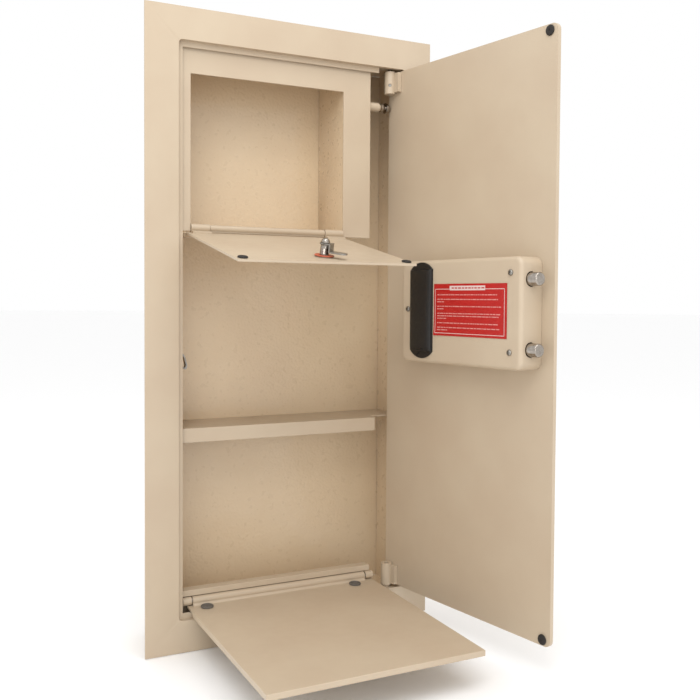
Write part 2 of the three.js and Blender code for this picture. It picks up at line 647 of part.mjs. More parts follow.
function keyLock() {
  const { x, z, r, plug, back } = KEY;
  const front = DOOR_OUT - GAP - READER.depth - 1;
  const bore = rod('y', plug + GAP, front - 1, back + 1, [x, z]);
  const core = rod('y', plug, front + 0.5, back + 3, [x, z]);
  const keyway = box(x - 1.1, x + 1.1, front - 1, front + 20, z - 4, z + 4);
  const lever = box(x - 4, x + 4, back + 1, back + 3, z - 13, z + 4);
  return [
    piece('key_cylinder', cut(rod('y', r, front, back, [x, z]), bore), zinc),
    piece('key_plug', cut(join(core, lever), keyway), brass),
  ];
}

// The fingerprint reader's housing on the door's outer face, with the sensor's
// window in a well and a hinged lid over it.
function reader() {
  const { left, right, bottom, top, depth, corner } = READER;
  const { x, z, wide, tall } = SENSOR;
  const y1 = DOOR_OUT - GAP;
  const y0 = y1 - depth;
  const well = 6;
  const around = (margin, r) => rounded(x - wide / 2 - margin, x + wide / 2 + margin,
    z - tall / 2 - margin, z + tall / 2 + margin, r);
  const holes = [[KEY, KEY.r], [KNOB, KNOB.spindle]].map(([at, r]) =>
    rod('y', r + GAP, y0 - 1, y1 + 1, [at.x, at.z]));
  const shell = plateY(rounded(left, right, bottom, top, corner), y0, y1, 5);
  const lid = plateY(rounded(left + 6, right - 6, z - 20, top - 6, corner - 5), y0 - 3.3, y0 - GAP, 5);
  return [
    piece('reader_housing', cut(shell, ...holes, plateY(around(3, 5), y0 - 1, y0 + well)), blackPlastic),
    piece('reader_window', plateY(around(0, 3), y0 + well / 2, y0 + well - GAP), glass),
    piece('reader_cover', lid, blackPlastic),
  ];
}

function mainDoor() {
  const door = new THREE.Group();
  door.position.set(DOOR_AXIS.x, DOOR_AXIS.y, 0);
  door.rotation.z = THREE.MathUtils.degToRad(DOOR_OPEN);
  door.add(doorPanel(), ...doorHinges(), ...bumpers());
  door.add(lockCover(), ...COVER_SCREWS.map(coverScrew), boltGuide(), ...electronics());
  door.add(...boltCarriage(), knob(), knobSpindle(), ...keyLock(), ...reader());
  door.add(...batteryBay(), batteryCover(), label());
  return door;
}

// --------------------------------------------------------------------- flaps
// Each flap is placed about its hinge axis, as it stands when shut: its panel
// runs up from the axis and its inner side faces +Y.

// The panel carries the hinge's two outer knuckles, each on a welded tab.
function upperPanel() {
  const { left, right, start, reach, inner, outer } = UPPER;
  const tabTop = 13;
  const tabIn = -2.8;
  const panel = box(left, right, outer, inner, start, reach);
  const lockHole = rod('y', CAM.barrel + GAP, outer - 1, inner + 1, [CAM.x, CAM.z]);
  const leftKnuckle = [HATCH_LEFT + GAP, UPPER_TUBE.left - 2 * GAP];
  const rightKnuckle = [UPPER_TUBE.right + 2 * GAP, HATCH_RIGHT - GAP];
  const knuckles = [leftKnuckle, rightKnuckle].map(([from, to]) => {
    const barrel = rod('x', 5.2, from, to, [0, 0]);
    const tab = box(from, to, -4.5, tabIn, 0, tabTop);
    const weld = box(from, to, inner - GAP, tabIn, start + 0.5, tabTop);
    const bore = rod('x', UPPER_PIN_R + GAP, from - 1, to + 1, [0, 0], SMALL_ROUND);
    return cut(join(barrel, tab, weld), bore);
  });
  return piece('upper_flap_panel', cut(join(panel, ...knuckles), lockHole), cream);
}

// The cam's side view is a strip that steps down from the lock's stud to a
// foot, which slides behind the compartment's face plate.
function camArm() {
  const { half, reach, stud } = CAM;
  const plateR = 6.2;
  const thick = 1.7;
  const foot = 0.4;
  const top = 9.3;
  const bend = 8.5;
  const side = outline([[top, -plateR], [top, bend - thick], [foot, bend - thick], [foot, reach],
    [foot + thick, reach], [foot + thick, bend], [top + thick, bend], [top + thick, -plateR]]);
  const strip = toSolid(plateX(side, -half, half));
  const front = rounded(-half, half, -plateR, reach, half - 0.1);
  const arm = toGeometry(strip.intersect(toSolid(plateY(front, foot - 1, top + 2 * thick))));
  return cut(arm, rod('y', stud + GAP, foot, top + 2 * thick, [0, 0], SMALL_ROUND));
}

function camLock() {
  const { inner, outer } = UPPER;
  const { barrel, stud, rim } = CAM;
  const shoulder = 9;
  const studEnd = 13.4;
  const body = turned([[0, outer - 1.5], [rim, outer - 1.5], [rim, outer - GAP], [barrel, outer - GAP],
    [barrel, shoulder], [stud, shoulder], [stud, studEnd], [0, studEnd]]);
  const nut = turned([[0, 11.3], [5.5, 11.3], [5.5, 13], [4.4, 15], [2.4, 16.2], [0, 16.6]]);
  const blind = rod('y', stud + GAP, shoulder + 1, studEnd + 0.4, [0, 0], SMALL_ROUND);
  const lock = new THREE.Group();
  lock.position.set(CAM.x, 0, CAM.z);
  const arm = piece('cam_arm', camArm(), zinc);
  arm.rotation.y = THREE.MathUtils.degToRad(CAM.turn);
  lock.add(piece('cam_barrel', along('y', body, [0, 0]), chrome));
  lock.add(piece('cam_ring', tube('y', rim + 0.5, barrel + GAP, inner + GAP, inner + 2.4, [0, 0]), redNylon));
  lock.add(arm, piece('cam_nut', cut(along('y', nut, [0, 0]), blind), chrome));
  return lock;
}

function flapPad(name, { r, thick }, [x, z], inner, material) {
  return piece(name, rod('y', r, inner + GAP, inner + GAP + thick, [x, z]), material);
}

function upperFlap() {
  const flap = new THREE.Group();
  flap.position.set(0, UPPER_AXIS.y, UPPER_AXIS.z);
  flap.rotation.x = THREE.MathUtils.degToRad(UPPER_OPEN);
  const padZ = UPPER.reach - 10;
  flap.add(upperPanel(), camLock());
  flap.add(flapPad('upper_flap_pad_left', PAD, [UPPER.left + 8.5, padZ], UPPER.inner, rubber));
  flap.add(flapPad('upper_flap_pad_right', PAD, [UPPER.right - 8.3, padZ], UPPER.inner, rubber));
  return flap;
}

// A plain sheet at the hinge, with its edges folded out from there on.
function lowerPanel() {
  const { left, right, start, reach, inner, outer } = LOWER;
  const { start: from, thick, depth } = LOWER_LIP;
  const end = inner - depth;
  const lips = [[left, left + thick, from], [left, right, reach - thick], [right - thick, right, from]];
  const sheet = box(left, right, outer, inner, start, reach);
  return join(sheet, ...lips.map(([x0, x1, z0]) => box(x0, x1, end, outer + 1, z0, reach)));
}

function lowerFlap() {
  const flap = new THREE.Group();
  flap.position.set(0, LOWER_AXIS.y, LOWER_AXIS.z);
  flap.rotation.x = THREE.MathUtils.degToRad(LOWER_OPEN);
  const hinge = tube('x', LOWER_TUBE.r, LOWER_PIN_R + GAP, LOWER_TUBE.left, LOWER_TUBE.right, [0, 0]);
  flap.add(piece('lower_flap_panel', lowerPanel(), cream));
  flap.add(piece('lower_hinge_tube', hinge, cream));
  DISC.xs.forEach((x, i) => {
    flap.add(flapPad(`lower_flap_disc_${i + 1}`, DISC, [x, DISC.z], LOWER.inner, greyRubber));
  });
  return flap;
}

// ------------------------------------------------------------------ assembly

const safe = new THREE.Group();
safe.add(frontFrame(), bodyShell(), backPanel(), compartmentFace(), compartmentBox(), shelf(), sillBracket());
safe.add(...upperHingeFixed(), ...lowerHingeFixed(), ...pivotPlates(), ...doorStop(), wallClip());
safe.add(mainDoor(), upperFlap(), lowerFlap());

export default safe;
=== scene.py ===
"""The looks of the wall safe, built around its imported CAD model."""

import json
import math
import random

import bmesh
import bpy
from mathutils import Matrix, Vector


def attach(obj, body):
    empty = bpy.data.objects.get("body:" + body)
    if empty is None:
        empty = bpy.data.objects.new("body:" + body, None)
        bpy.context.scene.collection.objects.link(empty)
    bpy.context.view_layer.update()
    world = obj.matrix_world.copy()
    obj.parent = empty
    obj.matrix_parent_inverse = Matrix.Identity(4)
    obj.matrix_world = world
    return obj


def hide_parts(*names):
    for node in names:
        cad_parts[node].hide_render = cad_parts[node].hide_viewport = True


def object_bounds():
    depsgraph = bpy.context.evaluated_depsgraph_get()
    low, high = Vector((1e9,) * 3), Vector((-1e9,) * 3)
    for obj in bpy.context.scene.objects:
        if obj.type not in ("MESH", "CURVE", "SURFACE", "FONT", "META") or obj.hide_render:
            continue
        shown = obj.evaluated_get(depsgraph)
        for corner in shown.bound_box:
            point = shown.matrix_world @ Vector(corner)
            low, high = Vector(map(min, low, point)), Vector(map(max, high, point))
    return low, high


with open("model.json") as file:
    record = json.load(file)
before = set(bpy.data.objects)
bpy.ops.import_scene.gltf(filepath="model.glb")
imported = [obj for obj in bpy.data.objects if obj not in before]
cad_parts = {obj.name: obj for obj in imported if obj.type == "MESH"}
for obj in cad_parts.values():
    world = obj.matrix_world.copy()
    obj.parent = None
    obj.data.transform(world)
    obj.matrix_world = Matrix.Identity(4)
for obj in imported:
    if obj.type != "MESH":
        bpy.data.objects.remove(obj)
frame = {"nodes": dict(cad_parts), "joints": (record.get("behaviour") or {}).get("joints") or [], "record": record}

CAD_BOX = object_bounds()
MM = 0.001
AXES = {"x": Vector((1, 0, 0)), "y": Vector((0, 1, 0)), "z": Vector((0, 0, 1))}
NODES = frame["nodes"]
JOINTS = {joint["name"]: joint for joint in frame["joints"]}
BODY_OF = {node: body for body, nodes in frame["record"]["behaviour"]["bodies"].items() for node in nodes}
SLOT_OF = {part["node"]: part["material_slot"] for part in frame["record"]["subparts"]}


# ------------------------------------------------------------ places and sizes

def placed(origin, x_axis, y_axis):
    """The matrix of a frame with this origin and these X and Y axes."""
    x, y = Vector(x_axis).normalized(), Vector(y_axis).normalized()
    matrix = Matrix((x, y, x.cross(y))).transposed().to_4x4()
    matrix.translation = Vector(origin)
    return matrix


def door_place():
    """The door's own frame: X towards its hinge edge, Y out of its inner face, Z up."""
    inward = -Vector(JOINTS["key_turn"]["axis"])
    return placed(JOINTS["door_hinge"]["pos_m"], inward.cross(Vector((0, 0, 1))), inward)


def upper_flap_place():
    """The upper flap's frame: X along its hinge, Y out of its inner face, Z towards its free edge."""
    return placed(JOINTS["upper_flap_hinge"]["pos_m"], (1, 0, 0), JOINTS["cam_turn"]["axis"])


def lower_flap_place():
    """The lower flap's frame: X along its hinge, Y out of its inner face, Z towards its free edge."""
    joint = JOINTS["lower_flap_hinge"]
    turn = -math.radians(joint["range_deg"][0])
    return placed(joint["pos_m"], (1, 0, 0), (0, math.cos(turn), math.sin(turn)))


DOOR = door_place()
UPPER_FLAP = upper_flap_place()
LOWER_FLAP = lower_flap_place()
SAFE = Matrix.Identity(4)


def extent(node, place=SAFE):
    """A CAD node's left, right, back, front, bottom and top along a place's axes, in millimetres."""
    inverse = place.inverted()
    points = [inverse @ vertex.co for vertex in NODES[node].data.vertices]
    return [pick(point[axis] for point in points) / MM for axis in range(3) for pick in (min, max)]


def middle(node, place=SAFE):
    """The middle of a CAD node's extent, in millimetres."""
    left, right, back, front, bottom, top = extent(node, place)
    return Vector(((left + right) / 2, (back + front) / 2, (bottom + top) / 2))


def facing(place, axis, at):
    """A frame at a point of a place, in millimetres, whose Z lies along an axis of that place."""
    turn = AXES[axis].to_track_quat("Z", "Y").to_matrix().to_4x4()
    return place @ Matrix.Translation(Vector(at) * MM) @ turn


# ------------------------------------------------------------------- materials

def srgb(red, green, blue):
    """A linear colour from 0 to 255 values."""
    def linear(value):
        value /= 255
        return value / 12.92 if value <= 0.04045 else ((value + 0.055) / 1.055) ** 2.4
    return (linear(red), linear(green), linear(blue), 1)


NOISE_LOW, NOISE_HIGH = 0.3, 0.7  # noise textures seldom leave this range


class Finish:
    """A material with one Principled shader, and the few kinds of node chain that the finishes share."""

    def __init__(self, name, **sockets):
        self.material = bpy.data.materials.new(name)
        self.material.use_nodes = True
        self.tree = self.material.node_tree
        self.shader = self.tree.nodes["Principled BSDF"]
        for socket, value in sockets.items():
            self.shader.inputs[socket.replace("_", " ")].default_value = value
        self.coordinates = self.tree.nodes.new("ShaderNodeTexCoord").outputs["Object"]
        self.last_bump = None

    def node(self, kind, **values):
        made = self.tree.nodes.new(kind)
        for key, value in values.items():
            setattr(made, key, value)
        return made

    def link(self, output, target):
        self.tree.links.new(output, target)

    def stretched(self, scale):
        """The object's own coordinates, scaled along each axis."""
        mapping = self.node("ShaderNodeMapping")
        mapping.inputs["Scale"].default_value = scale
        self.link(self.coordinates, mapping.inputs["Vector"])
        return mapping.outputs["Vector"]

    def noise(self, size, detail, stretch=None):
        """Noise whose features are about this size in metres."""
        made = self.node("ShaderNodeTexNoise")
        made.inputs["Scale"].default_value = 1 / size
        made.inputs["Detail"].default_value = detail
        source = self.stretched(stretch) if stretch else self.coordinates
        self.link(source, made.inputs["Vector"])
        return made.outputs["Fac"]

    def cells(self, size):
        """Rounded cells of about this size in metres."""
        made = self.node("ShaderNodeTexVoronoi", feature="SMOOTH_F1")
        made.inputs["Scale"].default_value = 1 / size
        self.link(self.coordinates, made.inputs["Vector"])
        return made.outputs["Distance"]

    def mapped(self, value, low, high):
        """The usual range of a noise, spread from one value to another."""
        made = self.node("ShaderNodeMapRange")
        made.inputs["From Min"].default_value = NOISE_LOW
        made.inputs["From Max"].default_value = NOISE_HIGH
        made.inputs["To Min"].default_value = low
        made.inputs["To Max"].default_value = high
        self.link(value, made.inputs["Value"])
        return made.outputs["Result"]

    def tinted(self, value, *colours):
        """Colours spread evenly along the usual range of a noise."""
        ramp = self.node("ShaderNodeValToRGB")
        elements = ramp.color_ramp.elements
        while len(elements) < len(colours):
            elements.new(0.5)
        step = (NOISE_HIGH - NOISE_LOW) / (len(colours) - 1)
        for i, colour in enumerate(colours):
            elements[i].position = NOISE_LOW + step * i
            elements[i].color = colour
        self.link(value, ramp.inputs["Fac"])
        self.link(ramp.outputs["Color"], self.shader.inputs["Base Color"])

    def rough(self, value, low, high):
        """Roughness that drifts between two values."""
        self.link(self.mapped(value, low, high), self.shader.inputs["Roughness"])

    def bump(self, value, depth):
        """Raises the surface by this depth in metres. Each call adds to the one before."""
        made = self.node("ShaderNodeBump")
        made.inputs["Strength"].default_value = 1
        made.inputs["Distance"].default_value = depth
        self.link(value, made.inputs["Height"])
        if self.last_bump:
            self.link(self.last_bump, made.inputs["Normal"])
        self.last_bump = made.outputs["Normal"]
        self.link(self.last_bump, self.shader.inputs["Normal"])


def cream_enamel():
    """Satin powder coat, with a fine orange peel and slight drifts of colour and gloss."""
    finish = Finish("cream_enamel", Coat_Weight=0.15, Coat_Roughness=0.3)
    finish.tinted(finish.noise(0.09, 3), srgb(188, 169, 145), srgb(191, 173, 149), srgb(194, 177, 153))
    finish.rough(finish.noise(0.012, 3), 0.40, 0.50)
    finish.bump(finish.noise(0.0016, 1), 0.00004)
    finish.bump(finish.noise(0.02, 1), 0.00005)
    return finish.material


def hammered_enamel():
    """The inside's glossier coat, with small soft dimples. Its colour is the outside's cream paint made lighter
    and more saturated: painted light inside the safe.
    """
    finish = Finish("hammered_enamel", Coat_Weight=0.5, Coat_Roughness=0.16)
    # Lighter and more saturated than cream_enamel's colours: painted light for the inside, not a different paint.
    finish.tinted(finish.noise(0.12, 3), srgb(214, 191, 159), srgb(217, 195, 163), srgb(220, 199, 168))
    finish.rough(finish.noise(0.008, 2), 0.26, 0.36)
    finish.bump(finish.noise(0.0034, 0.0), 0.0004)
    finish.bump(finish.noise(0.0016, 0.0), 0.00009)
    return finish.material


def chrome_plate():
    finish = Finish("chrome_plate", Metallic=1.0)
    finish.tinted(finish.noise(0.004, 3), srgb(150, 142, 133), srgb(176, 168, 159))
    finish.rough(finish.noise(0.0015, 4, stretch=(1, 1, 9)), 0.08, 0.20)
    finish.bump(finish.noise(0.0006, 2, stretch=(1, 1, 12)), 0.000004)
    return finish.material


def zinc_plate():
    finish = Finish("zinc_plate", Metallic=1.0)
    finish.tinted(finish.noise(0.003, 4), srgb(132, 129, 123), srgb(154, 150, 144), srgb(164, 159, 151))
    finish.rough(finish.noise(0.0012, 4), 0.28, 0.46)
    finish.bump(finish.noise(0.0004, 3, stretch=(1, 8, 1)), 0.00001)
    return finish.material


def machined_brass():
    finish = Finish("machined_brass", Metallic=1.0)
    finish.tinted(finish.noise(0.003, 3), srgb(176, 138, 74), srgb(198, 160, 94))
    finish.rough(finish.noise(0.001, 3), 0.22, 0.36)
    finish.bump(finish.noise(0.0003, 2), 0.000006)
    return finish.material


def rubber(name, dark, light):
    finish = Finish(name)
    finish.tinted(finish.noise(0.003, 3), dark, light)
    finish.rough(finish.noise(0.001, 3), 0.55, 0.75)
    finish.bump(finish.noise(0.0004, 3), 0.00002)
    return finish.material


def black_plastic():
    """Moulded plastic with a fine spark-eroded grain."""
    finish = Finish("black_plastic")
    finish.tinted(finish.noise(0.01, 3), srgb(14, 11, 9), srgb(21, 17, 13))
    finish.rough(finish.noise(0.004, 3), 0.42, 0.54)
    finish.bump(finish.noise(0.0005, 3), 0.000025)
    return finish.material


def sensor_glass():
    finish = Finish("sensor_glass", Coat_Weight=1.0, Coat_Roughness=0.04)
    finish.tinted(finish.noise(0.004, 2), srgb(14, 20, 24), srgb(24, 34, 40))
    finish.rough(finish.noise(0.002, 2), 0.08, 0.16)
    finish.bump(finish.noise(0.002, 1), 0.000004)
    return finish.material


def label_film():
    finish = Finish("label_film", Coat_Weight=0.1, Coat_Roughness=0.25)
    finish.tinted(finish.noise(0.012, 3), srgb(172, 15, 14), srgb(181, 20, 18))
    finish.rough(finish.noise(0.004, 2), 0.36, 0.46)
    finish.bump(finish.noise(0.01, 2), 0.00006)
    return finish.material


def label_ink(name, dark, light):
    finish = Finish(name)
    finish.tinted(finish.noise(0.0012, 3), dark, light)
    finish.rough(finish.noise(0.003, 2), 0.42, 0.52)
    finish.bump(finish.noise(0.0006, 2), 0.00001)
    return finish.material


def red_nylon():
    finish = Finish("red_nylon", Subsurface_Weight=0.1)
    finish.tinted(finish.noise(0.004, 3), srgb(186, 78, 52), srgb(204, 96, 66))
    finish.rough(finish.noise(0.002, 2), 0.36, 0.5)
    finish.bump(finish.noise(0.0008, 2), 0.00002)
    return finish.material


def solder_mask():
    finish = Finish("solder_mask", Coat_Weight=0.4, Coat_Roughness=0.2)
    finish.tinted(finish.noise(0.003, 2), srgb(22, 80, 46), srgb(30, 98, 58))
    finish.rough(finish.noise(0.002, 2), 0.3, 0.45)
    finish.bump(finish.cells(0.002), 0.00003)
    return finish.material


def cell_wrap():
    finish = Finish("cell_wrap", Coat_Weight=0.5, Coat_Roughness=0.15)
    finish.tinted(finish.noise(0.02, 2), srgb(30, 31, 35), srgb(46, 47, 52))
    finish.rough(finish.noise(0.004, 2), 0.25, 0.35)
    finish.bump(finish.noise(0.003, 2), 0.00001)
    return finish.material


MATERIALS = {
    "cream_enamel": cream_enamel(),
    "hammered_enamel": hammered_enamel(),
    "chrome": chrome_plate(),
    "zinc": zinc_plate(),
    "brass": machined_brass(),
    "black_rubber": rubber("black_rubber", srgb(30, 26, 23), srgb(40, 35, 31)),
    "grey_rubber": rubber("grey_rubber", srgb(88, 83, 77), srgb(104, 98, 91)),
    "black_plastic": black_plastic(),
    "sensor_glass": sensor_glass(),
    "red_label": label_film(),
    "red_nylon": red_nylon(),
    "circuit_green": solder_mask(),
    "battery_wrap": cell_wrap(),
}
BOLD_INK = label_ink("bold_ink", srgb(208, 180, 174), srgb(220, 204, 199))
FINE_INK = label_ink("fine_ink", srgb(200, 118, 112), srgb(212, 152, 146))


# ---------------------------------------------------------------- mesh helpers

SMOOTH_BELOW = math.radians(35)  # edges that turn less than this are shaded smooth
BEVEL_ABOVE = math.radians(40)  # edges that turn more than this are rounded
FLAT_BELOW = math.radians(0.3)  # faces of the CAD that turn less than this are one face
MERGE = 1e-6  # vertices of the CAD this close are one, in metres
CUT_MERGE = 1e-7  # the same after a cut
BEYOND = 1  # how far a cutter reaches past what it cuts, in millimetres


def piece(name, mesh, node, place=SAFE, material=None):
    """An object from a bmesh made in a place's frame, in the body and slot of a CAD node."""
    data = bpy.data.meshes.new(name)
    mesh.transform(place)
    bmesh.ops.recalc_face_normals(mesh, faces=mesh.faces)
    mesh.to_mesh(data)
    mesh.free()
    data.polygons.foreach_set("use_smooth", [True] * len(data.polygons))
    data.set_sharp_from_angle(angle=SMOOTH_BELOW)
    made = bpy.data.objects.new(name, data)
    bpy.context.scene.collection.objects.link(made)
    data.materials.append(material or MATERIALS[SLOT_OF[node]])
    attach(made, BODY_OF[node])
    return made


def arc(centre, radius, start, end, steps):
    """Points along an arc, from one angle to another in degrees."""
    x, y = centre
    angles = [math.radians(start + (end - start) * i / steps) for i in range(steps + 1)]
    return [(x + radius * math.cos(angle), y + radius * math.sin(angle)) for angle in angles]


def round_rectangle(left, right, bottom, top, radius, steps):
    """A rectangle with arcs of so many steps at its corners."""
    corners = ((right, top), (left, top), (left, bottom), (right, bottom))
    inward = ((-1, -1), (1, -1), (1, 1), (-1, 1))
    points = []
    for i, ((x, z), (dx, dz)) in enumerate(zip(corners, inward)):
        points += arc((x + dx * radius, z + dz * radius), radius, 90 * i, 90 * (i + 1), steps)
    return points


def lofted(rings):
    """A closed bmesh through rings with the same number of points, in millimetres, capped at both ends."""
    mesh = bmesh.new()
    rows = [[mesh.verts.new(Vector(point) * MM) for point in ring] for ring in rings]
    for low, high in zip(rows, rows[1:]):
        for i, corner in enumerate(low):
            mesh.faces.new((low[i - 1], corner, high[i], high[i - 1]))
    mesh.faces.new(rows[0])
    mesh.faces.new(rows[-1])
    bmesh.ops.recalc_face_normals(mesh, faces=mesh.faces)
    return mesh


def slab(outline, back, front, rounding, steps=5):
    """A plate with a rounded front edge, from an outline in X and Z that is a function of the inset."""
    levels = [(0, back)]
    for i in range(steps + 1):
        angle = math.pi / 2 * i / steps
        levels.append((rounding * (1 - math.cos(angle)), front - rounding * (1 - math.sin(angle))))
    return lofted([[(x, y, z) for x, z in outline(inset)] for inset, y in levels])


def block(left, right, back, front, bottom, top):
    """A bmesh of a box, in millimetres."""
    corners = ((left, bottom), (right, bottom), (right, top), (left, top))
    return lofted([[(x, y, z) for x, z in corners] for y in (back, front)])


def turned(profile, segments=48):
    """A bmesh turned about Z from a profile in millimetres, which starts and ends on the axis."""
    mesh = bmesh.new()
    turns = [math.tau * i / segments for i in range(segments)]
    rings = []
    for radius, height in profile:
        around = turns if radius else turns[:1]
        r, z = radius * MM, height * MM
        rings.append([mesh.verts.new((r * math.cos(turn), r * math.sin(turn), z)) for turn in around])
    for low, high in zip(rings, rings[1:]):
        for i in range(segments):
            j = (i + 1) % segments
            corners = (low[i % len(low)], low[j % len(low)], high[j % len(high)], high[i % len(high)])
            mesh.faces.new(dict.fromkeys(corners))
    bmesh.ops.recalc_face_normals(mesh, faces=mesh.faces)
    return mesh


def rod(radius, low, high, segments=48):
    """A bmesh of a round rod about Z, in millimetres."""
    return turned([(0, low), (radius, low), (radius, high), (0, high)], segments)


def hexagon(radius, low, high, chamfer=0.0):
    """A bmesh of a hexagonal bar about Z, in millimetres, whose ends may be chamfered."""
    def ring(r, z):
        return [(x, y, z) for x, y in arc((0, 0), r, 0, 300, steps=5)]
    if not chamfer:
        return lofted([ring(radius, low), ring(radius, high)])
    return lofted([ring(radius - chamfer, low), ring(radius, low + chamfer / 2),
                   ring(radius, high - chamfer / 2), ring(radius - chamfer, high)])


def moved(mesh, matrix):
    """The same bmesh, moved by a matrix."""
    mesh.transform(matrix)
    return mesh


def combined(mesh, operation, *others):
    """Cuts the other bmeshes out of the first, or joins them to it. Each is used up."""
    bodies = []
    for part in (mesh, *others):
        data = bpy.data.meshes.new("part")
        part.to_mesh(data)
        part.free()
        bodies.append(bpy.data.objects.new("part", data))
        bpy.context.scene.collection.objects.link(bodies[-1])
    for other in bodies[1:]:
        boolean = bodies[0].modifiers.new("boolean", "BOOLEAN")
        boolean.operation = operation
        boolean.object = other
    evaluated = bodies[0].evaluated_get(bpy.context.evaluated_depsgraph_get())
    result = bmesh.new()
    result.from_mesh(evaluated.to_mesh())
    evaluated.to_mesh_clear()
    for body in bodies:
        data = body.data
        bpy.data.objects.remove(body)
        bpy.data.meshes.remove(data)
    bmesh.ops.remove_doubles(result, verts=result.verts, dist=CUT_MERGE)
    return result


def gathered(parts):
    """One bmesh from several. Each is used up."""
    whole = bmesh.new()
    for part in parts:
        data = bpy.data.meshes.new("part")
        part.to_mesh(data)
        part.free()
        whole.from_mesh(data)
        bpy.data.meshes.remove(data)
    return whole


def softened(made, radius):
    """Rounds a piece's hard edges to a radius in millimetres."""
    bevel = made.modifiers.new("edges", "BEVEL")
    bevel.width = radius * MM
    bevel.segments = 2
    bevel.limit_method = "ANGLE"
    bevel.angle_limit = BEVEL_ABOVE
    bevel.harden_normals = True


def instead_of(node, mesh, place=SAFE, radius=None, suffix="detail"):
    """A piece that stands for a CAD node, in its body and slot."""
    made = piece(f"{node}_{suffix}", mesh, node, place)
    if radius:
        softened(made, radius)
    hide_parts(node)


def cleaned(node):
    """A CAD node's mesh with its shared vertices merged and its flat faces made whole."""
    mesh = bmesh.new()
    mesh.from_mesh(NODES[node].data)
    bmesh.ops.remove_doubles(mesh, verts=mesh.verts, dist=MERGE)
    bmesh.ops.dissolve_limit(mesh, angle_limit=FLAT_BELOW, verts=mesh.verts, edges=mesh.edges)
    return mesh


# ----------------------------------------------------------- the lock box's cover

BOLTS = ("bolt_upper", "bolt_lower")
COVER_SCREWS = ("cover_screw_1", "cover_screw_2", "cover_screw_3")


def lock_cover():
    """A pressed cover with a soft front edge, and holes for the bolts, the screws and the battery holder."""
    left, right, back, front, bottom, top = extent("lock_cover", DOOR)
    wall, corner, soft = 1.5, 10, 5
    bolt_hole, screw_hole, drill = 8.9, 1.8, 8
    margin, below = 0.8, 6

    def outline(inset):
        return round_rectangle(left + inset, right - inset, bottom + inset, top - inset,
                               corner - inset, steps=12)

    cutters = [slab(lambda inset: outline(wall + inset), back - BEYOND, front - wall, soft - wall)]
    lid_left, lid_right, _, _, lid_bottom, lid_top = extent("battery_cover", DOOR)
    cutters.append(block(lid_left - margin, lid_right + margin, front - below, front + BEYOND,
                         lid_bottom - margin, lid_top + margin))
    for node in BOLTS:
        _, y, z = middle(node, DOOR)
        hole = rod(bolt_hole, 0, drill, segments=64)
        cutters.append(moved(hole, facing(SAFE, "x", (left - 2, y, z))))
    for node in COVER_SCREWS:
        x, _, z = middle(node, DOOR)
        hole = rod(screw_hole, 0, drill, segments=24)
        cutters.append(moved(hole, facing(SAFE, "y", (x, front - below, z))))
    mesh = combined(slab(outline, back, front, soft, steps=10), "DIFFERENCE", *cutters)
    instead_of("lock_cover", mesh, DOOR)


def cover_screws():
    """Pan-head screws with a cross recess, each turned its own way."""
    chance = random.Random(4)
    high, shank, long, soft = 2.2, 1.5, 6, 0.12
    slot, slot_long, recess = 0.42, 2, 0.9
    profile = [(0, -long), (shank - 0.3, -long), (shank, 0.5 - long), (shank, 0), (3.45, 0), (3.6, 0.2),
               (3.55, 0.8), (3.2, 1.4), (2.5, 1.9), (1.6, high - 0.05), (0, high)]
    for node in COVER_SCREWS:
        x, _, z = middle(node, DOOR)
        seat = extent(node, DOOR)[3] - high
        cross = [moved(block(-slot_long, slot_long, -slot, slot, recess, high + BEYOND), turned_by)
                 for turned_by in (Matrix.Identity(4), Matrix.Rotation(math.pi / 2, 4, "Z"))]
        mesh = combined(turned(profile, segments=32), "DIFFERENCE", *cross)
        turn = Matrix.Rotation(chance.uniform(0, math.pi / 2), 4, "Z")
        instead_of(node, moved(mesh, turn), facing(DOOR, "y", (x, seat, z)), radius=soft)


def bolts():
    """Turned and polished bolts, with a chamfered end and a centre mark."""
    for node in BOLTS:
        left, right, _, _, bottom, top = extent(node, DOOR)
        _, y, z = middle(node, DOOR)
        r = (top - bottom) / 2
        long = right - left
        profile = [(0, 0.9), (0.9, 0.1), (1.1, 0), (r - 1.3, 0), (r - 1.1, 0.06), (r - 0.12, 1.0), (r, 1.2),
                   (r, long), (0, long)]
        instead_of(node, turned(profile, segments=72), facing(DOOR, "x", (left, y, z)))


# ------------------------------------------------------------------- batteries

def arched(left, right, bottom, top, rise, steps=20):
    """A rectangle whose ends are arched outwards, in X and Z."""
    half = (right - left) / 2
    radius = (half * half + rise * rise) / (2 * rise)
    spread = math.degrees(math.asin(half / radius))
    across = (left + right) / 2
    points = arc((across, top + rise - radius), radius, 90 - spread, 90 + spread, steps)
    return points + arc((across, bottom - rise + radius), radius, 270 - spread, 270 + spread, steps)


def battery_holder():
    """The holder: a tray in the cover's window, and a raised rim with arched ends round it."""
    left, right, back, front, _, _ = extent("battery_holder", DOOR)
    *_, bottom, top = extent("battery_cover", DOOR)
    bottom, top = bottom - 0.5, top + 0.5
    rise, flatten, wall, rim, soft = 9, 0.4, 1.5, 2, 0.9
    finger_r, finger_deep, finger_long, finger_low = 9, 1.1, 4, 9.5

    def outline(inset):
        return arched(left + inset, right - inset, bottom + inset, top - inset, rise - flatten * inset)

    tray = block(left, right, back, front - rim / 2, bottom, top)
    hollow = block(left + wall, right - wall, back + wall, front + BEYOND, bottom + wall, top - wall)
    finger = moved(rod(finger_r, 0, finger_long),
                   facing(SAFE, "y", ((left + right) / 2, front - finger_deep, bottom - finger_low)))
    mesh = combined(slab(outline, front - rim, front, soft), "UNION", tray)
    instead_of("battery_holder", combined(mesh, "DIFFERENCE", hollow, finger), DOOR)


